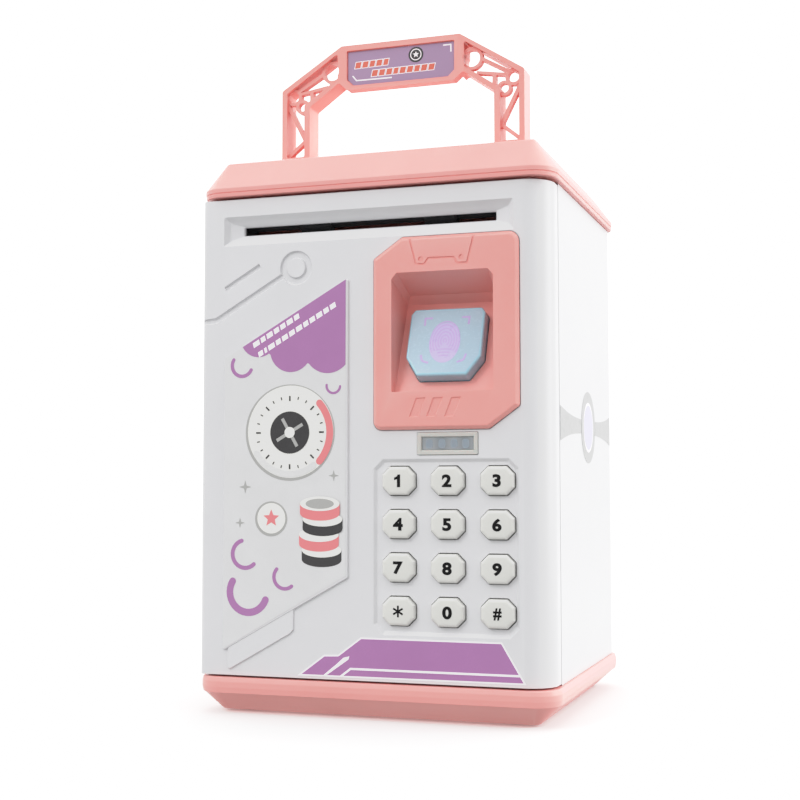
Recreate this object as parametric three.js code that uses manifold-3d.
// Toy safe coin bank: a box-shaped money box with a hinged front door, a keypad, a fingerprint
// pad, a motorised banknote feed, a latch and a folding carrying handle.
// Units are millimetres. +X is to the right of someone facing the door, +Y is to the back and
// +Z is up. The origin is on the ground under the centre of the case.

import * as THREE from 'three';
import { mergeVertices } from 'three/addons/utils/BufferGeometryUtils.js';
import Module from 'manifold-3d';

const wasm = await Module();
wasm.setup();

// ---------------------------------------------------------------- driving dimensions

const HALF_W = 65.6;            // case half width, outer faces of the side walls
const HALF_D = 60.2;            // case half depth, front of the door to the rear wall
const FRONT = -HALF_D;          // the door's front plane
const WALL = 2.4;               // moulded wall thickness
const OVERHANG = 1.9;           // cap and base stand this far out of the walls
const GAP = 0.3;                // clearance between neighbouring mouldings

const FOOT_DROP = 0.8;          // the feet lift the base this high
const BASE_TOP = 13.2;
const BASE_BEVEL_TOP = 7.8;
const BASE_INSET = 8;
const CAP_BOTTOM = 189.2;
const CAP_BEVEL_BOTTOM = 192.4;
const CAP_TOP = 203.5;
const CAP_INSET = 8.2;
const RIM_RADIUS = 10;          // plan radius of the cap's and base's corners
const REAR_RADIUS = 7;          // plan radius of the housing's rear corners

const DOOR_BOTTOM = 13.9;
const DOOR_TOP = 188.2;
const NOSE_RADIUS = 10;         // the door's rounded right edge, centred on the hinge
const HINGE_X = HALF_W - NOSE_RADIUS;
const HINGE_Y = FRONT + NOSE_RADIUS;
const SEAM_RADIUS = 10.85;      // the door's hinge-side end face, centred on the hinge
const DOOR_FLANGE_REAR = -50.6; // rear edge of the door's left, top and bottom flanges
const DOOR_BACK = -32;          // rear face of the door's inner cover
const CHAMBER_FLOOR_FRONT = -28;

const HINGE_PIN_RADIUS = 1.5;
const HINGE_HOLE_RADIUS = 1.6;

const HANDLE_FRONT = -25.5;
const HANDLE_DEPTH = 9.5;
const HANDLE_Y = HANDLE_FRONT + HANDLE_DEPTH / 2;
const HANDLE_PIVOT_Z = CAP_TOP + 5.1;
const HANDLE_OUTER = 49;        // half width over the posts
const HANDLE_INNER = 37.3;      // half width between the posts
const HANDLE_SHOULDER_Z = 238;
const HANDLE_TOP_Z = 253.7;
const HANDLE_TOP_HALF = 24;
const HANDLE_ELBOW = [37.3, 230.6];
const SIGN_HALF = 25.2;
const SIGN_CHAMFER_Z = 239.2;
const SIGN_BOTTOM_HALF = 21.5;
const SIGN_BOTTOM_Z = 236;
const LUG_RADIUS = 3.3;
const LUG_THICKNESS = 2.6;
const HANDLE_PIN_RADIUS = 1.6;

const SLOT = { x0: -50, x1: 46.2, z0: 174.9, z1: 178 };
const FUNNEL = { x0: -57, x1: 53, z0: 170.9, z1: 181.7 };
const FUNNEL_DEPTH = 3;
const COIN_SLOT = { halfLength: 15, halfWidth: 1.7, y: 38 };

const KEY_COLUMNS = [11.2, 29.05, 46.9];
const KEY_ROWS = [84.1, 68.95, 53.8, 38.65];
const KEY_NAMES = ['1', '2', '3', '4', '5', '6', '7', '8', '9', 'star', '0', 'hash'];
const KEY_W = 11.9;
const KEY_H = 9.9;
const KEY_CHAMFER = 2.7;
const KEY_CLEARANCE = 0.35;
const KEY_PROUD = 1.2;
const KEYPAD_RECESS = { x0: 1.7, x1: 54.5, z0: 30.3, z1: 91.8, depth: 0.9 };

const BEZEL = { x0: 2, x1: 55, z0: 102, z1: 170.2, proud: 1.75 };
const POCKET = { x0: 9, x1: 46.1, z0: 115.3, z1: 157.5, taper: 0.9 };
const RAMP_FOOT_Y = -58.6;      // depth of the ramp at the pocket's sill
const RAMP_HEAD = [-45.7, 147.9];
const POCKET_BACK = [-48.1, 151];
const POCKET_WALL = 1.6;
const PAD = { x: 27.2, halfWidth: 13.4, height: 25.8, centreZ: 131.35, proud: 4, root: 2.1 };

const WINDOW = { x0: 17.9, x1: 40.2, z0: 93, z1: 101.1 };

const LABEL_PANEL = { x0: -56.5, x1: -7.5, topLeftZ: 129, topRightZ: 157.1, bottomLeftZ: 22.2,
  bottomRightZ: 49.8, proud: 0.8 };
const LABEL_MARGIN = 1;
const SKIN = 0.2;               // thickness of printed labels

const CELL_RADIUS = 7.1;
const CELL_LENGTH = 50.5;
const CELL_PITCH = 15.2;
const CELL_Y = -42.3;
const CELL_X0 = -56.5;
const CELL_Z0 = 33;

const ROLLER_RADIUS = 4;
const FEED_Y = -49.4;
const FEED_Z = 171.75;          // the driven shaft, under the banknote path
const IDLER_RADIUS = 2.9;
const IDLER_Z = FEED_Z + ROLLER_RADIUS + 0.4 + IDLER_RADIUS;   // over the banknote path
const GEAR_MODULE = 0.5;
const GEAR_TEETH = 24;
const PINION_TEETH = 12;
const GEAR_WIDTH = 2.4;
const GEAR_X = -57;
const MOTOR_Z = FEED_Z - GEAR_MODULE * (GEAR_TEETH + PINION_TEETH) / 2 - 0.1;

// ---------------------------------------------------------------- materials

const plastic = (color, roughness = 0.4) =>
  new THREE.MeshStandardMaterial({ color, roughness, metalness: 0 });
const metal = (color, roughness = 0.3) =>
  new THREE.MeshStandardMaterial({ color, roughness, metalness: 1 });

const MATERIALS = {
  whiteShell: plastic('#ececee', 0.35),
  pinkShell: plastic('#f0b0a8', 0.4),
  keycap: plastic('#e6e6e2', 0.45),
  padBlue: plastic('#bcd0e0', 0.3),
  smokedWindow: plastic('#b9bcba', 0.2),
  labelPrint: plastic('#a87bab', 0.5),
  darkRubber: plastic('#2b2b2d', 0.8),
  greyPlastic: plastic('#8c8f93', 0.5),
  boardGreen: plastic('#2f6b46', 0.5),
  cellWrap: plastic('#3d5a80', 0.35),
  steel: metal('#c4c7ca', 0.3),
};

// ---------------------------------------------------------------- solid helpers

function solid(geometry) {
  const bare = geometry.clone();
  for (const name of ['normal', 'uv']) bare.deleteAttribute(name);
  const merged = mergeVertices(bare, 1e-4);
  const vertProperties = new Float32Array(merged.attributes.position.array);
  const triVerts = new Uint32Array(merged.index.array);
  return new wasm.Manifold(new wasm.Mesh({ numProp: 3, vertProperties, triVerts }));
}

function toGeometry(body) {
  const mesh = body.getMesh();
  const geometry = new THREE.BufferGeometry();
  geometry.setAttribute('position', new THREE.BufferAttribute(mesh.vertProperties, 3));
  geometry.setIndex(new THREE.BufferAttribute(mesh.triVerts, 1));
  geometry.computeVertexNormals();
  return geometry;
}

const join = (first, ...rest) => rest.reduce((body, next) => body.add(next), first);
const cut = (first, ...rest) => rest.reduce((body, next) => body.subtract(next), first);

function box(x0, x1, y0, y1, z0, z1) {
  const geometry = new THREE.BoxGeometry(x1 - x0, y1 - y0, z1 - z0);
  geometry.translate((x0 + x1) / 2, (y0 + y1) / 2, (z0 + z1) / 2);
  return solid(geometry);
}

const toShape = (outline) => (outline instanceof THREE.Shape ? outline
  : new THREE.Shape(outline.map(([a, b]) => new THREE.Vector2(a, b))));

// Local x, y, z of an extrusion laid along a model axis: the outline is given in the two
// other axes, in X, Y, Z order.
const EXTRUSION_FRAMES = {
  x: [[0, 1, 0], [0, 0, 1], [1, 0, 0]],
  y: [[1, 0, 0], [0, 0, 1], [0, -1, 0]],
  z: [[1, 0, 0], [0, 1, 0], [0, 0, 1]],
};

function prism(axis, outline, from, to, options = {}) {
  const geometry = new THREE.ExtrudeGeometry(toShape(outline),
    { depth: to - from, bevelEnabled: false, curveSegments: 3, ...options });
  geometry.translate(0, 0, axis === 'y' ? -to : from);
  const basis = EXTRUSION_FRAMES[axis].map((v) => new THREE.Vector3(...v));
  geometry.applyMatrix4(new THREE.Matrix4().makeBasis(...basis));
  return solid(geometry);
}

// A cylinder along a model axis. centre holds the two other coordinates in X, Y, Z order.
function rod(axis, radius, centre, from, to, segments = 16) {
  const geometry = new THREE.CylinderGeometry(radius, radius, to - from, segments);
  if (axis === 'x') geometry.rotateZ(-Math.PI / 2);
  if (axis === 'z') geometry.rotateX(Math.PI / 2);
  const middle = (from + to) / 2;
  const at = { x: [middle, ...centre], y: [centre[0], middle, centre[1]], z: [...centre, middle] };
  geometry.translate(...at[axis]);
  return solid(geometry);
}

const expand = ({ x0, x1, z0, z1 }, d) => ({ x0: x0 - d, x1: x1 + d, z0: z0 - d, z1: z1 + d });

// A rectangular hole in the door that narrows from its front rectangle to its rear one.
function funnel(front, frontY, rear, rearY) {
  const geometry = new THREE.BoxGeometry(1, rearY - frontY, 1);
  geometry.translate(0, (frontY + rearY) / 2, 0);
  const position = geometry.attributes.position;
  for (let i = 0; i < position.count; i += 1) {
    const end = position.getY(i) < (frontY + rearY) / 2 ? front : rear;
    position.setX(i, position.getX(i) < 0 ? end.x0 : end.x1);
    position.setZ(i, position.getZ(i) < 0 ? end.z0 : end.z1);
  }
  return solid(geometry);
}

// Outline of a rectangle with straight cut corners: c lists bottom left, bottom right, top
// right and top left, each one number or a [along x, along z] pair.
function cutRectangle({ x0, x1, z0, z1 }, c) {
  const [bl, br, tr, tl] = c.map((v) => (Array.isArray(v) ? v : [v, v]));
  return [[x0 + bl[0], z0], [x1 - br[0], z0], [x1, z0 + br[1]], [x1, z1 - tr[1]],
    [x1 - tr[0], z1], [x0 + tl[0], z1], [x0, z1 - tl[1]], [x0, z0 + bl[1]]];
}

function roundedRectangle(halfX, halfY, radius) {
  const shape = new THREE.Shape();
  const cx = halfX - radius;
  const cy = halfY - radius;
  shape.moveTo(-cx, -halfY);
  shape.absarc(cx, -cy, radius, -Math.PI / 2, 0);
  shape.absarc(cx, cy, radius, 0, Math.PI / 2);
  shape.absarc(-cx, cy, radius, Math.PI / 2, Math.PI);
  shape.absarc(-cx, -cy, radius, Math.PI, 1.5 * Math.PI);
  return shape;
}

const mirrorX = (outline) => outline.map(([x, z]) => [-x, z]).reverse();

// A slab whose two ends are bevelled: the straight band runs from z0 to z1.
function bevelledSlab(halfX, halfY, radius, z0, z1, bevelHeight, inset) {
  return prism('z', roundedRectangle(halfX, halfY, radius), z0, z1, { bevelEnabled: true,
    bevelThickness: bevelHeight, bevelSize: inset, bevelOffset: -inset, bevelSegments: 1 });
}

// ---------------------------------------------------------------- scene graph

const model = new THREE.Group();

function addPart(name, body, material) {
  const mesh = new THREE.Mesh(toGeometry(body), MATERIALS[material]);
  mesh.name = name;
  model.add(mesh);
  return mesh;
}

// ---------------------------------------------------------------- base, housing and cap

const POST_AT = [56, 50.8];  // rear screw posts, mirrored in x
const SCREW_RADIUS = 1.4;
const FOOT_AT = [50, 44];
const FOOT_RADIUS = 5;

function baseTray() {
  const rimX = HALF_W + OVERHANG;
  const rimY = HALF_D + OVERHANG;
  const slab = bevelledSlab(rimX, rimY, RIM_RADIUS, BASE_BEVEL_TOP, BASE_TOP,
    BASE_BEVEL_TOP - FOOT_DROP, BASE_INSET);
  const lower = box(-80, 80, -80, 80, 0, BASE_TOP);
  const hollow = box(-57, 57, -52, 52, FOOT_DROP + WALL, BASE_TOP - WALL);
  const mouth = box(-57, 57, CHAMBER_FLOOR_FRONT, 52, BASE_TOP - WALL - 1, BASE_TOP + 1);
  let tray = cut(slab.intersect(lower), join(hollow, mouth));
  tray = join(tray, rod('z', 4, [HINGE_X, HINGE_Y], 3, BASE_TOP));
  tray = cut(tray, rod('z', HINGE_HOLE_RADIUS, [HINGE_X, HINGE_Y], 6, BASE_TOP + 1));
  for (const side of [-1, 1]) {
    tray = join(tray, rod('z', 4, [side * POST_AT[0], POST_AT[1]], 3, BASE_TOP));
    tray = cut(tray, rod('z', SCREW_RADIUS + 0.2, [side * POST_AT[0], POST_AT[1]], 0, 20),
      rod('z', 3, [side * POST_AT[0], POST_AT[1]], 0, 6));
    for (const end of [-1, 1]) {
      tray = cut(tray, rod('z', FOOT_RADIUS + 0.1, [side * FOOT_AT[0], end * FOOT_AT[1]], 0, 1.6));
    }
  }
  return tray;
}

function mainHousing() {
  const bottom = BASE_TOP + 0.1;
  const top = CAP_BOTTOM - 0.1;
  const outer = prism('z', roundedRectangle(HALF_W, HALF_D, REAR_RADIUS), bottom, top);
  const inner = prism('z', roundedRectangle(HALF_W - WALL, HALF_D - WALL, REAR_RADIUS - WALL),
    bottom + WALL, top + 1);
  const doorway = join(box(-80, 80, -80, HINGE_Y, 0, 300),
    box(-80, 0, -80, DOOR_FLANGE_REAR + 0.5, 0, 300),
    rod('z', SEAM_RADIUS + GAP, [HINGE_X, HINGE_Y], 0, 300, 64),
    box(-HALF_W + WALL, HALF_W - WALL, -80, CHAMBER_FLOOR_FRONT, 0, 300));
  let housing = cut(outer, inner, doorway);
  housing = join(housing, box(-HALF_W + WALL / 2, -59, -26.5, -23.5, 84, 104));
  for (const side of [-1, 1]) {
    const post = rod('z', 3.8, [side * POST_AT[0], POST_AT[1]], bottom, top);
    const web = box(side < 0 ? -HALF_W + 1 : POST_AT[0], side < 0 ? -POST_AT[0] : HALF_W - 1,
      POST_AT[1] - 1, POST_AT[1] + 1, bottom, top);
    const screwHole = rod('z', SCREW_RADIUS + 0.1, [side * POST_AT[0], POST_AT[1]], 0, 30);
    const pegHole = rod('z', 2.1, [side * POST_AT[0], POST_AT[1]], top - 8, top + 1);
    housing = cut(join(housing, post, web), screwHole, pegHole);
  }
  return housing;
}

function topCap() {
  const rimX = HALF_W + OVERHANG;
  const rimY = HALF_D + OVERHANG;
  const slab = bevelledSlab(rimX, rimY, RIM_RADIUS, CAP_BOTTOM, CAP_BEVEL_BOTTOM,
    CAP_TOP - CAP_BEVEL_BOTTOM, CAP_INSET);
  const upper = box(-80, 80, -80, 80, CAP_BOTTOM, CAP_TOP);
  const hollow = box(-57, 57, -51.5, 51.5, CAP_BOTTOM + WALL, CAP_TOP - WALL);
  const mouth = box(-57, 57, CHAMBER_FLOOR_FRONT, 51.5, CAP_BOTTOM - 1, CAP_BOTTOM + WALL + 1);
  let cap = cut(slab.intersect(upper), join(hollow, mouth));
  cap = join(cap, rod('z', 4, [HINGE_X, HINGE_Y], CAP_BOTTOM, CAP_BOTTOM + 8));
  cap = cut(cap, rod('z', HINGE_HOLE_RADIUS, [HINGE_X, HINGE_Y], CAP_BOTTOM - 1, CAP_BOTTOM + 7));
  cap = cut(cap, box(-COIN_SLOT.halfLength, COIN_SLOT.halfLength, COIN_SLOT.y - COIN_SLOT.halfWidth,
    COIN_SLOT.y + COIN_SLOT.halfWidth, CAP_TOP - WALL - 1, CAP_TOP + 1));
  for (const side of [-1, 1]) {
    cap = join(cap, rod('z', 1.95, [side * POST_AT[0], POST_AT[1]], CAP_BOTTOM - 6, CAP_BOTTOM + 3),
      ...[HANDLE_INNER - GAP - LUG_THICKNESS, HANDLE_OUTER + GAP].map((x) => handleLug(side, x)));
    cap = cut(cap, rod('x', HANDLE_PIN_RADIUS + 0.03, [HANDLE_Y, HANDLE_PIVOT_Z],
      side < 0 ? -HANDLE_OUTER - 6 : HANDLE_INNER - 6, side < 0 ? -HANDLE_INNER + 6 : HANDLE_OUTER + 6));
  }
  return cap;
}

// One ear of the handle's clevis, standing on the cap.
function handleLug(side, x) {
  const x0 = side < 0 ? -x - LUG_THICKNESS : x;
  const ear = rod('x', LUG_RADIUS, [HANDLE_Y, HANDLE_PIVOT_Z], x0, x0 + LUG_THICKNESS);
  const root = box(x0, x0 + LUG_THICKNESS, HANDLE_Y - LUG_RADIUS, HANDLE_Y + LUG_RADIUS,
    CAP_TOP - 1, HANDLE_PIVOT_Z);
  return join(ear, root);
}

addPart('base_tray', baseTray(), 'pinkShell');
addPart('main_housing', mainHousing(), 'whiteShell');
addPart('top_cap', topCap(), 'pinkShell');

for (const [name, side, end] of [['front_left', -1, -1], ['front_right', 1, -1],
  ['rear_left', -1, 1], ['rear_right', 1, 1]]) {
  addPart(`foot_${name}`, rod('z', FOOT_RADIUS, [side * FOOT_AT[0], end * FOOT_AT[1]], 0, 1.5),
    'darkRubber');
}

for (const [name, side] of [['left', -1], ['right', 1]]) {
  const at = [side * POST_AT[0], POST_AT[1]];
  const screw = join(rod('z', SCREW_RADIUS, at, 4, 26, 12), rod('z', 2.7, at, 4, 5.8, 12));
  addPart(`base_screw_${name}`, screw, 'steel');
}

// ---------------------------------------------------------------- handle

// Lattice of the right-hand half, in x and z: straight struts by their ends and width, and rings.
const LATTICE_STRUTS = [
  { from: [31.6, 244], to: [43.4, 237.3], width: 1.4 },
  { from: [30.2, 238.5], to: [43, 236.5], width: 1.2 },
  { from: [37.1, 237], to: [37, 232.6], width: 1.5 },
  { from: [47.2, 232.6], to: [39.2, 216.8], width: 1.5 },
  { from: [39.2, 218.2], to: [47.2, 211.7], width: 1.4 },
];
const LATTICE_RINGS = [{ x: 28.3, z: 244.1, hole: 3.2, ring: 4.4 },
  { x: 44.6, z: 235.6, hole: 2.1, ring: 3.3 }, { x: 40.9, z: 231.5, hole: 1.7, ring: 2.9 }];
const WEB_FRONT = HANDLE_FRONT + 1.6;
const WEB_REAR = HANDLE_FRONT + 4.2;

const SIGN_PLATE_DEPTH = 4.6;
const POST_RADIUS = HANDLE_DEPTH / 2;     // round rear heel of the posts, about the pivot
const HANDLE_FOOT_Z = HANDLE_PIVOT_Z - POST_RADIUS;
const LATTICE_FOOT_Z = HANDLE_PIVOT_Z + 2.6;

function handleOutline() {
  const half = [[HANDLE_OUTER, HANDLE_FOOT_Z], [HANDLE_OUTER, HANDLE_SHOULDER_Z],
    [HANDLE_TOP_HALF, HANDLE_TOP_Z]];
  const inner = [[SIGN_BOTTOM_HALF, SIGN_BOTTOM_Z], [SIGN_HALF, SIGN_CHAMFER_Z], HANDLE_ELBOW,
    [HANDLE_INNER, HANDLE_FOOT_Z]];
  return [...half, ...mirrorX(half), ...mirrorX(inner), ...inner];
}

// The opening between the outer and inner rims, crossed by the lattice.
const LATTICE_FIELD = [[46.9, LATTICE_FOOT_Z], [46.9, 236.9], [25.6, 250.9], [25.6, 241],
  [39.6, 231.6], [39.6, LATTICE_FOOT_Z]];

function strutOutline({ from, to, width }) {
  const length = Math.hypot(to[0] - from[0], to[1] - from[1]);
  const nx = (from[1] - to[1]) / length * width / 2;
  const nz = (to[0] - from[0]) / length * width / 2;
  return [[from[0] - nx, from[1] - nz], [to[0] - nx, to[1] - nz],
    [to[0] + nx, to[1] + nz], [from[0] + nx, from[1] + nz]];
}

function handleBody() {
  const rear = HANDLE_FRONT + HANDLE_DEPTH;
  let body = prism('y', handleOutline(), HANDLE_FRONT, rear);
  for (const [side, fold] of [[-1, mirrorX], [1, (outline) => outline]]) {
    body = cut(body, prism('y', fold(LATTICE_FIELD), HANDLE_FRONT - 1, rear + 1));
    body = join(body,
      ...LATTICE_STRUTS.map((strut) => prism('y', fold(strutOutline(strut)), WEB_FRONT, WEB_REAR)),
      ...LATTICE_RINGS.map(({ x, z, ring }) => rod('y', ring, [side * x, z], WEB_FRONT, WEB_REAR)));
    for (const { x, z, hole } of LATTICE_RINGS) {
      body = cut(body, rod('y', hole, [side * x, z], HANDLE_FRONT - 1, rear + 1));
    }
    const x0 = side < 0 ? -HANDLE_OUTER : HANDLE_INNER;
    const x1 = x0 + HANDLE_OUTER - HANDLE_INNER;
    const heel = cut(
      box(x0 - 1, x1 + 1, HANDLE_Y, rear + 1, HANDLE_FOOT_Z - 1, HANDLE_PIVOT_Z),
      rod('x', POST_RADIUS, [HANDLE_Y, HANDLE_PIVOT_Z], x0 - 2, x1 + 2));
    body = cut(body, heel,
      rod('x', HANDLE_PIN_RADIUS + 0.09, [HANDLE_Y, HANDLE_PIVOT_Z], x0 - 1, x1 + 1));
  }
  const plate = cutRectangle({ x0: -21.8, x1: 21.8, z0: 237.6, z1: 251.5 }, [2.5, 2.5, 0, 0]);
  // The sign's part of the handle is a thin plate, open behind.
  body = cut(body, box(-HANDLE_TOP_HALF, HANDLE_TOP_HALF, HANDLE_FRONT + SIGN_PLATE_DEPTH, rear + 1,
    SIGN_BOTTOM_Z - 1, HANDLE_TOP_Z + 1));
  return cut(body, prism('y', dedupe(plate), HANDLE_FRONT - 1, HANDLE_FRONT + 1));
}

function dedupe(outline) {
  return outline.filter(([a, b], i) => {
    const [c, d] = outline[(i + 1) % outline.length];
    return Math.hypot(a - c, b - d) > 1e-6;
  });
}

addPart('handle', handleBody(), 'pinkShell');
const handlePlate = { x0: -21.5, x1: 21.5, z0: 237.9, z1: 251.2 };
addPart('handle_label', prism('y', dedupe(cutRectangle(handlePlate, [2.3, 2.3, 0, 0])),
  HANDLE_FRONT + 1 - SKIN - 0.05, HANDLE_FRONT + 1 - 0.05), 'labelPrint');
for (const [name, side] of [['left', -1], ['right', 1]]) {
  const ends = [side * (HANDLE_INNER - 2.6), side * (HANDLE_OUTER + 2.6)].sort((a, b) => a - b);
  addPart(`handle_pin_${name}`,
    rod('x', HANDLE_PIN_RADIUS, [HANDLE_Y, HANDLE_PIVOT_Z], ...ends), 'steel');
}

// ---------------------------------------------------------------- door shell

// Plan of the door's wrap-around skin: front, left flange and the nose round the hinge.
function doorPlan() {
  const shape = new THREE.Shape();
  const inner = NOSE_RADIUS - WALL;
  const outerTip = Math.asin(Math.sqrt(SEAM_RADIUS ** 2 - NOSE_RADIUS ** 2) / SEAM_RADIUS);
  const innerTip = Math.acos(inner / SEAM_RADIUS);
  const cornerRadius = 1.5;
  shape.moveTo(-HALF_W, DOOR_FLANGE_REAR);
  shape.absarc(-HALF_W + cornerRadius, FRONT + cornerRadius, cornerRadius, Math.PI, 1.5 * Math.PI);
  shape.absarc(HINGE_X, HINGE_Y, NOSE_RADIUS, -Math.PI / 2, 0);
  shape.absarc(HINGE_X, HINGE_Y, SEAM_RADIUS, outerTip, innerTip);
  shape.absarc(HINGE_X, HINGE_Y, inner, 0, -Math.PI / 2, true);
  shape.lineTo(-HALF_W + WALL, FRONT + WALL);
  shape.lineTo(-HALF_W + WALL, DOOR_FLANGE_REAR);
  shape.closePath();
  return shape;
}

// Plan of the door's top and bottom flanges, with the knuckle round the hinge pin.
function doorFlange(z0, z1) {
  const plate = join(box(-HALF_W + 0.5, HINGE_X, FRONT + 0.5, DOOR_FLANGE_REAR, z0, z1),
    rod('z', NOSE_RADIUS - 0.5, [HINGE_X, HINGE_Y], z0, z1, 32));
  const behind = box(-80, HINGE_X - 5, DOOR_FLANGE_REAR, 0, 0, 300);
  const hole = rod('z', HINGE_HOLE_RADIUS, [HINGE_X, HINGE_Y], z0 - 1, z1 + 1);
  return cut(plate, behind, hole);
}

function labelPanelOutline(margin = 0) {
  const p = LABEL_PANEL;
  const slope = (p.topRightZ - p.topLeftZ) / (p.x1 - p.x0);
  const drop = margin * (Math.hypot(1, slope) + slope);
  const rise = margin * (Math.hypot(1, slope) - slope);
  return [[p.x0 + margin, p.bottomLeftZ + drop], [p.x1 - margin, p.bottomRightZ + rise],
    [p.x1 - margin, p.topRightZ - drop], [p.x0 + margin, p.topLeftZ - rise]];
}

// The lower step beside the label panel's slanted foot.
const STEP_PANEL = [[-54.3, 15.6], [-29.9, 29.5], [-28.5, 31], [-28.5, 40], [-54.3, 26]];

function keyOutline(x, z, grow = 0) {
  const halfW = KEY_W / 2 + grow;
  const halfH = KEY_H / 2 + grow;
  const c = KEY_CHAMFER + grow * (2 - Math.SQRT2);
  return cutRectangle({ x0: x - halfW, x1: x + halfW, z0: z - halfH, z1: z + halfH }, [c, c, c, c]);
}

function frontDoor() {
  const flat = DOOR_TOP - WALL;
  const slotLip = 1.2;
  let door = join(prism('z', doorPlan(), DOOR_BOTTOM, DOOR_TOP, { curveSegments: 6 }),
    doorFlange(DOOR_BOTTOM, DOOR_BOTTOM + WALL), doorFlange(flat, DOOR_TOP),
    funnel(expand(FUNNEL, 1), FRONT + 0.5, expand(SLOT, 1.6), FRONT + FUNNEL_DEPTH + slotLip));
  door = cut(door, funnel(FUNNEL, FRONT - 0.01, SLOT, FRONT + FUNNEL_DEPTH),
    box(SLOT.x0, SLOT.x1, FRONT, FRONT + 10, SLOT.z0, SLOT.z1));
  door = join(door,
    prism('y', labelPanelOutline(), FRONT - LABEL_PANEL.proud, FRONT + 1),
    prism('y', STEP_PANEL, FRONT - LABEL_PANEL.proud / 2, FRONT + 1));
  const recess = KEYPAD_RECESS;
  door = cut(door,
    prism('y', cutRectangle(recess, [3.5, 3.5, 3.5, 3.5]), FRONT - 1, FRONT + recess.depth),
    box(POCKET.x0 - 2, POCKET.x1 + 2, FRONT - 1, FRONT + WALL + 1, POCKET.z0 - 2.2, POCKET.z1 + 2.2),
    box(WINDOW.x0, WINDOW.x1, FRONT - 1, FRONT + WALL + 1, WINDOW.z0, WINDOW.z1));
  for (const z of KEY_ROWS) {
    for (const x of KEY_COLUMNS) {
      door = cut(door, prism('y', keyOutline(x, z, KEY_CLEARANCE), FRONT - 1, FRONT + WALL + 1));
    }
  }
  return door;
}

addPart('front_door', frontDoor(), 'whiteShell');
addPart('door_label', prism('y', labelPanelOutline(LABEL_MARGIN),
  FRONT - LABEL_PANEL.proud - SKIN - 0.05, FRONT - LABEL_PANEL.proud - 0.05), 'labelPrint');
const DOOR_DECAL = [[-27.1, 15], [-16.9, 22.5], [-11.6, 22.7], [-3, 29.2], [48.2, 29.2], [56.6, 15]];
addPart('door_decal', prism('y', DOOR_DECAL.slice().reverse(), FRONT - SKIN - 0.05, FRONT - 0.05),
  'labelPrint');

const PIN_SPANS = [['lower', 6.5, DOOR_BOTTOM + WALL], ['upper', DOOR_TOP - WALL, CAP_BOTTOM + 6.5]];
for (const [name, z0, z1] of PIN_SPANS) {
  addPart(`door_hinge_pin_${name}`,
    rod('z', HINGE_PIN_RADIUS, [HINGE_X, HINGE_Y], z0, z1), 'steel');
}

// ---------------------------------------------------------------- side decals

function sideDecal(side) {
  const bar = new THREE.Shape();
  bar.moveTo(-44.6, 98);
  bar.quadraticCurveTo(-25, 102, -7, 101.5);
  bar.lineTo(20, 101.8);
  bar.quadraticCurveTo(42, 102, 57, 98.4);
  bar.lineTo(57, 111);
  bar.quadraticCurveTo(42, 107, 20, 107.4);
  bar.lineTo(-7, 107.1);
  bar.quadraticCurveTo(-25, 106.6, -44.6, 110.6);
  bar.closePath();
  const x0 = side > 0 ? HALF_W + 0.05 : -HALF_W - 0.05 - SKIN;
  return join(prism('x', bar, x0, x0 + SKIN), rod('x', 13.7, [6.6, 104.6], x0, x0 + SKIN, 32));
}

addPart('side_decal_left', sideDecal(-1), 'greyPlastic');
addPart('side_decal_right', sideDecal(1), 'greyPlastic');

// ---------------------------------------------------------------- keypad

const KEY_FLANGE = 0.9;
const KEY_FLANGE_FRONT = FRONT + WALL + 0.4;
const KEY_BACK = KEY_FLANGE_FRONT + 1.0;
const MEMBRANE_FRONT = KEY_BACK + 1.7;
const MEMBRANE_BACK = MEMBRANE_FRONT + 1.2;

function keycap(x, z) {
  const chamfer = 0.5;
  const crown = prism('y', keyOutline(x, z, -chamfer), FRONT - KEY_PROUD, KEY_FLANGE_FRONT);
  const stem = prism('y', keyOutline(x, z), FRONT - KEY_PROUD + chamfer, KEY_FLANGE_FRONT);
  const flange = prism('y', keyOutline(x, z, KEY_FLANGE), KEY_FLANGE_FRONT, KEY_BACK);
  return join(crown, stem, flange);
}

KEY_NAMES.forEach((name, i) => {
  const x = KEY_COLUMNS[i % KEY_COLUMNS.length];
  const z = KEY_ROWS[Math.floor(i / KEY_COLUMNS.length)];
  addPart(`key_${name}`, keycap(x, z), 'keycap');
});
addPart('keypad_membrane', box(2.5, 54, MEMBRANE_FRONT, MEMBRANE_BACK, 31, 91.5), 'greyPlastic');

// The board carries the keypad's contacts and, above them, the indicator lamps.
function mainBoard() {
  const front = MEMBRANE_BACK + 0.2;
  let board = box(0.5, 54.5, front, front + 1.6, 27, 101);
  for (let i = 0; i < 4; i += 1) {
    const x = WINDOW.x0 + 4.4 + i * 4.5;
    board = join(board, box(x - 1.4, x + 1.4, front - 1.4, front + 0.2, 95.2, 98.9));
  }
  return board;
}

addPart('main_board', mainBoard(), 'boardGreen');

// ---------------------------------------------------------------- fingerprint unit

// The ramp leans back from the sill to its head. Its frame has x across, y up the slope and z
// out of the ramp towards the user.
const rampRise = RAMP_HEAD[1] - POCKET.z0;
const rampRun = RAMP_HEAD[0] - RAMP_FOOT_Y;
const rampTilt = Math.atan2(rampRun, rampRise);
const rampY = (z) => RAMP_FOOT_Y + (z - POCKET.z0) * (rampRun / rampRise);

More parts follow.
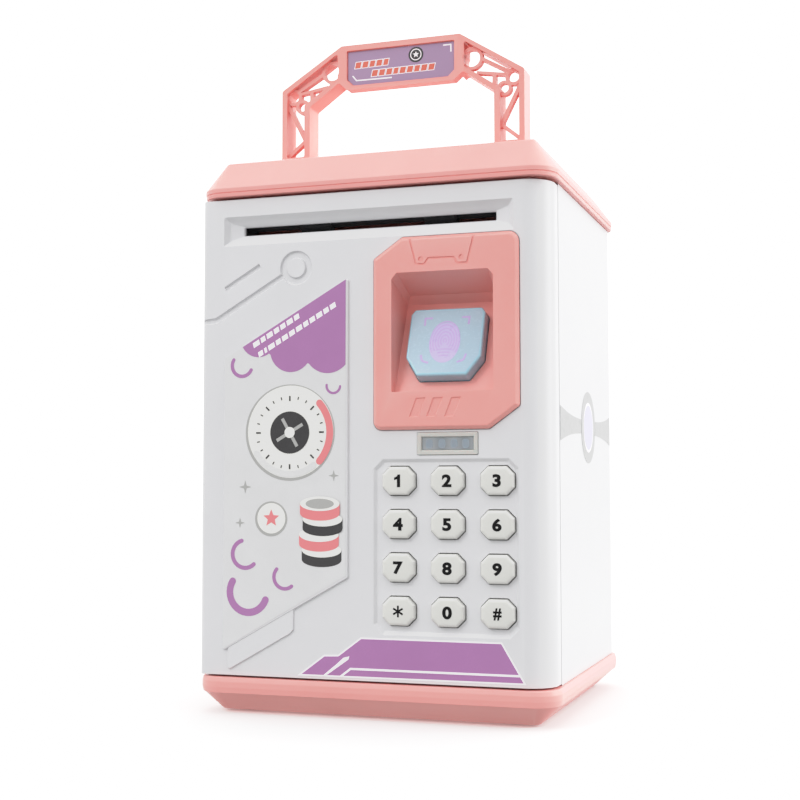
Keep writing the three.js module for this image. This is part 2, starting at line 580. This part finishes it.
function onRamp(outline, depth, lift) {
  const geometry = new THREE.ExtrudeGeometry(toShape(outline), { depth, bevelEnabled: false });
  geometry.translate(0, 0, lift);
  const up = new THREE.Vector3(0, Math.sin(rampTilt), Math.cos(rampTilt));
  const out = new THREE.Vector3(0, -Math.cos(rampTilt), Math.sin(rampTilt));
  geometry.applyMatrix4(new THREE.Matrix4().makeBasis(new THREE.Vector3(1, 0, 0), up, out));
  geometry.translate(PAD.x, rampY(PAD.centreZ), PAD.centreZ);
  return solid(geometry);
}

function padOutline(grow = 0) {
  const half = PAD.halfWidth + grow;
  const rise = PAD.height / 2 + grow;
  return cutRectangle({ x0: -half, x1: half, z0: -rise, z1: rise },
    [[4.7, 7.2], [4.7, 7.2], [1.4, 2.1], [1.4, 2.1]]);
}

function pocketCavity() {
  const mid = (POCKET.x0 + POCKET.x1) / 2;
  const profile = [[FRONT - 3, POCKET.z0], [RAMP_FOOT_Y, POCKET.z0], RAMP_HEAD, POCKET_BACK,
    [FRONT - BEZEL.proud, POCKET.z1], [FRONT - 3, POCKET.z1]];
  const shape = prism('x', profile, POCKET.x0, POCKET.x1);
  const side = POCKET.x1 - mid;
  const narrow = side - POCKET.taper;
  const plan = [[mid - side, FRONT - 3], [mid + side, FRONT - 3], [mid + side, FRONT - 1],
    [mid + narrow, RAMP_HEAD[0] + 1], [mid - narrow, RAMP_HEAD[0] + 1], [mid - side, FRONT - 1]];
  return shape.intersect(prism('z', plan, POCKET.z0 - 5, POCKET.z1 + 5));
}

function fingerprintBezel() {
  const t = POCKET_WALL;
  const plate = prism('y', dedupe(cutRectangle(BEZEL, [3, [10.8, 7.8], 3, [10.7, 7.4]])),
    FRONT - BEZEL.proud, FRONT - 0.1);
  const back = [[FRONT - 0.2, POCKET.z0 - t], [RAMP_FOOT_Y + t, POCKET.z0 - t],
    [RAMP_HEAD[0] + t, RAMP_HEAD[1]], [POCKET_BACK[0] + t, POCKET_BACK[1] + t],
    [FRONT - 0.2, POCKET.z1 + t]];
  const tub = prism('x', back, POCKET.x0 - t, POCKET.x1 + t);
  const well = onRamp(padOutline(0.35), 20, -10);
  return cut(join(plate, tub), pocketCavity(), well);
}

function fingerprintPad() {
  const cap = onRamp(padOutline(), PAD.proud + PAD.root, -PAD.root);
  const flange = onRamp(padOutline(0.9), 1, -PAD.root - 1);
  return join(cap, flange);
}

addPart('fingerprint_bezel', fingerprintBezel(), 'pinkShell');
addPart('fingerprint_pad', fingerprintPad(), 'padBlue');
addPart('fingerprint_board', onRamp([[-12, -9], [12, -9], [12, 12], [-12, 12]], 1.6, -6.4),
  'boardGreen');

// ---------------------------------------------------------------- status window

function statusWindow() {
  const w = WINDOW;
  const c = 0.15;
  const lens = box(w.x0 + c, w.x1 - c, FRONT - 0.4, FRONT + WALL + 0.4, w.z0 + c, w.z1 - c);
  const lip = box(w.x0 - 1, w.x1 + 1, FRONT + WALL + 0.1, FRONT + WALL + 1.1, w.z0 - 0.4, w.z1 + 1);
  const hollow = box(w.x0 + 1.6, w.x1 - 1.6, FRONT + 0.9, FRONT + 5, w.z0 + 1.6, w.z1 - 1.6);
  return cut(join(lens, lip), hollow);
}

addPart('status_window', statusWindow(), 'smokedWindow');

// ---------------------------------------------------------------- door inner cover

const COVER = { x0: -61, x1: 57, z0: 16.7, z1: 185.4, lipFront: -52.8, lipRear: -50.8 };
const COVER_WALL = 2;
const BATTERY_MOUTH = { x0: -57.5, x1: -4.5, z0: 25, z1: 72 };
const BOLT_MOUTH = { x0: -59, x1: -44, z0: 89, z1: 99 };
const COVER_SCREWS = [['upper_left', -51, 151], ['upper_right', 51.4, 139],
  ['lower_left', 2, 21.5], ['lower_right', 51.4, 21.5]];
const SPEAKER_AT = [-30, 122];

function doorInnerCover() {
  const c = COVER;
  const lip = box(-HALF_W + WALL + GAP, HINGE_X + 7, c.lipFront, c.lipRear, c.z0, c.z1);
  const tub = box(c.x0, c.x1, c.lipFront, DOOR_BACK, c.z0, c.z1);
  const inside = box(c.x0 + COVER_WALL, c.x1 - COVER_WALL, c.lipFront - 1, DOOR_BACK - COVER_WALL,
    c.z0 + COVER_WALL, c.z1 - COVER_WALL);
  const nose = rod('z', NOSE_RADIUS - WALL - GAP, [HINGE_X, HINGE_Y], c.z0, c.z1, 32);
  const lipClear = cut(box(HINGE_X, 80, -60, -40, 0, 300), nose);
  let cover = join(cut(lip, lipClear), tub);
  cover = cut(cover, inside,
    box(-51, 49, DOOR_BACK - 5, DOOR_BACK + 1, 173.4, 178.6),
    box(BATTERY_MOUTH.x0, BATTERY_MOUTH.x1, DOOR_BACK - 5, DOOR_BACK + 1,
      BATTERY_MOUTH.z0, BATTERY_MOUTH.z1),
    box(BOLT_MOUTH.x0, BOLT_MOUTH.x1, DOOR_BACK - 5, DOOR_BACK + 1, BOLT_MOUTH.z0, BOLT_MOUTH.z1));
  for (const [, x, z] of COVER_SCREWS) {
    cover = join(cover, rod('y', 3.4, [x, z], c.lipRear + 1, DOOR_BACK - 1));
    cover = cut(cover, rod('y', 1.6, [x, z], -60, DOOR_BACK + 1), rod('y', 2.9, [x, z], -36, 0));
  }
  for (const [dx, dz] of [[0, 0], [4, 0], [-4, 0], [2, 3.5], [-2, 3.5], [2, -3.5], [-2, -3.5]]) {
    cover = cut(cover, rod('y', 1.1, [SPEAKER_AT[0] + dx, SPEAKER_AT[1] + dz], -36, 0, 8));
  }
  return cover;
}

addPart('door_inner_cover', doorInnerCover(), 'pinkShell');
for (const [name, x, z] of COVER_SCREWS) {
  const screw = join(rod('y', 1.3, [x, z], -52, -34, 12), rod('y', 2.6, [x, z], -35.8, -34, 12));
  addPart(`door_cover_screw_${name}`, screw, 'steel');
}
addPart('speaker', join(rod('y', 9, SPEAKER_AT, -38.5, -34.5), rod('y', 13, SPEAKER_AT, -36, -34.3)),
  'greyPlastic');

// ---------------------------------------------------------------- battery compartment

function batteryCover() {
  const m = BATTERY_MOUTH;
  const plate = box(m.x0 - 2, m.x1 + 2, DOOR_BACK + 0.1, DOOR_BACK + 1.9, m.z0 - 2, m.z1 + 2);
  const plug = box(m.x0 + GAP, m.x1 - GAP, DOOR_BACK - 1.9, DOOR_BACK + 1, m.z0 + GAP, m.z1 - GAP);
  const grip = box(-36, -26, DOOR_BACK + 1.2, DOOR_BACK + 3, 30, 36);
  const scoop = box(-34.5, -27.5, DOOR_BACK + 1, DOOR_BACK + 4, 31.5, 34.5);
  return cut(join(plate, plug, grip), scoop);
}

function cell(z, flip) {
  const x1 = CELL_X0 + CELL_LENGTH;
  const can = rod('x', CELL_RADIUS, [CELL_Y, z], flip ? CELL_X0 + 1.2 : CELL_X0,
    flip ? x1 : x1 - 1.2, 20);
  const nub = flip ? rod('x', 2.6, [CELL_Y, z], CELL_X0, CELL_X0 + 2)
    : rod('x', 2.6, [CELL_Y, z], x1 - 2, x1);
  return join(can, nub);
}

addPart('battery_cover', batteryCover(), 'pinkShell');
for (let i = 0; i < 3; i += 1) {
  addPart(`battery_${i + 1}`, cell(CELL_Z0 + i * CELL_PITCH, i % 2 === 1), 'cellWrap');
}
for (const [name, x] of [['left', CELL_X0 - 1.2], ['right', CELL_X0 + CELL_LENGTH + 0.4]]) {
  addPart(`battery_contact_${name}`, box(x, x + 0.8, CELL_Y - 6, CELL_Y + 6, 27, 70), 'steel');
}

// ---------------------------------------------------------------- latch

function lockSolenoid() {
  const coil = box(-38, -18, -48, -37, 87.5, 100.5);
  return cut(coil, rod('x', 2.1, [-42.5, 94], -40, -16));
}

// The bolt's arm reaches back through the inner cover; its toe slides left behind the strike.
function lockBolt() {
  const plunger = rod('x', 1.9, [-42.5, 94], -48, -24);
  const arm = box(-51.5, -47.5, -44.5, -19.8, 91, 97);
  const toe = box(-55.4, -49, -22.8, -19.8, 91, 97);
  return join(plunger, arm, toe);
}

addPart('lock_solenoid', lockSolenoid(), 'greyPlastic');
addPart('lock_bolt', lockBolt(), 'steel');

// ---------------------------------------------------------------- banknote feed

const FRAME_ENDS = [-54.2, 50.8];
const FRAME_PLATE = 2;
const SHAFT_RADIUS = 1.4;

// Outline of a spur gear with involute flanks; thin takes that much off every tooth's thickness.
function gearOutline(teeth, phase, thin) {
  const pitch = GEAR_MODULE * teeth / 2;
  const base = pitch * Math.cos(Math.PI / 9);
  const tip = pitch + 0.85 * GEAR_MODULE;
  const root = pitch - 1.15 * GEAR_MODULE;
  const involute = (r) => {
    const a = Math.acos(Math.min(1, base / r));
    return Math.tan(a) - a;
  };
  const halfAtPitch = Math.PI / (2 * teeth) - thin / (2 * pitch);
  const halfAt = (r) => halfAtPitch + involute(pitch) - involute(Math.max(r, base));
  const radii = [root, Math.max(base, root + 0.05), tip];
  const outline = [];
  for (let i = 0; i < teeth; i += 1) {
    const middle = phase + i * 2 * Math.PI / teeth;
    for (const [order, sign] of [[radii, -1], [radii.slice().reverse(), 1]]) {
      for (const r of order) {
        const angle = middle + sign * halfAt(r);
        outline.push([r * Math.cos(angle), r * Math.sin(angle)]);
      }
    }
  }
  return outline;
}

function gear(teeth, phase, z, bore) {
  const outline = gearOutline(teeth, phase, 0.12).map(([a, b]) => [FEED_Y + a, z + b]);
  return cut(prism('x', outline, GEAR_X, GEAR_X + GEAR_WIDTH),
    rod('x', bore, [FEED_Y, z], GEAR_X - 1, GEAR_X + GEAR_WIDTH + 1));
}

function rollerFrame() {
  let frame = box(FRAME_ENDS[0] + 1, FRAME_ENDS[1] + 1, -41.6, -39.8, 160, 171.6);
  for (const x of FRAME_ENDS) {
    frame = join(frame, box(x, x + FRAME_PLATE, -53.4, -39.8, 157, 183.1));
  }
  for (const z of [FEED_Z, IDLER_Z]) {
    frame = cut(frame, rod('x', SHAFT_RADIUS + 0.07, [FEED_Y, z], -60, 60));
  }
  return cut(frame, rod('x', 1.9, [FEED_Y, MOTOR_Z], -60, -50));
}

function feedMotor() {
  const can = rod('x', 6.2, [FEED_Y, MOTOR_Z], FRAME_ENDS[0] + FRAME_PLATE + 0.1, -32, 20);
  return join(can, rod('x', 1.7, [FEED_Y, MOTOR_Z], FRAME_ENDS[0] + 0.4, -50));
}

addPart('roller_frame', rollerFrame(), 'greyPlastic');
addPart('feed_shaft', rod('x', SHAFT_RADIUS, [FEED_Y, FEED_Z], GEAR_X - 0.8, 53), 'steel');
for (const [name, x] of [['left', -30], ['right', 18]]) {
  const tyre = cut(rod('x', ROLLER_RADIUS, [FEED_Y, FEED_Z], x, x + 12, 20),
    rod('x', SHAFT_RADIUS + 0.03, [FEED_Y, FEED_Z], x - 1, x + 13));
  addPart(`feed_roller_${name}`, tyre, 'darkRubber');
}
addPart('feed_gear', gear(GEAR_TEETH, -Math.PI / 2, FEED_Z, SHAFT_RADIUS + 0.03), 'whiteShell');
addPart('idler_roller', join(rod('x', SHAFT_RADIUS, [FEED_Y, IDLER_Z], -54.2, 53),
  rod('x', IDLER_RADIUS, [FEED_Y, IDLER_Z], -30, -18, 20),
  rod('x', IDLER_RADIUS, [FEED_Y, IDLER_Z], 18, 30, 20)), 'darkRubber');
addPart('feed_motor', feedMotor(), 'steel');
const pinionPhase = Math.PI / 2 + Math.PI / PINION_TEETH;
const pinionBody = join(prism('x', gearOutline(PINION_TEETH, pinionPhase, 0.12)
  .map(([a, b]) => [FEED_Y + a, MOTOR_Z + b]), GEAR_X, GEAR_X + GEAR_WIDTH),
rod('x', 1.2, [FEED_Y, MOTOR_Z], GEAR_X, FRAME_ENDS[0] + 0.2));
addPart('motor_pinion', pinionBody, 'greyPlastic');

export default model;
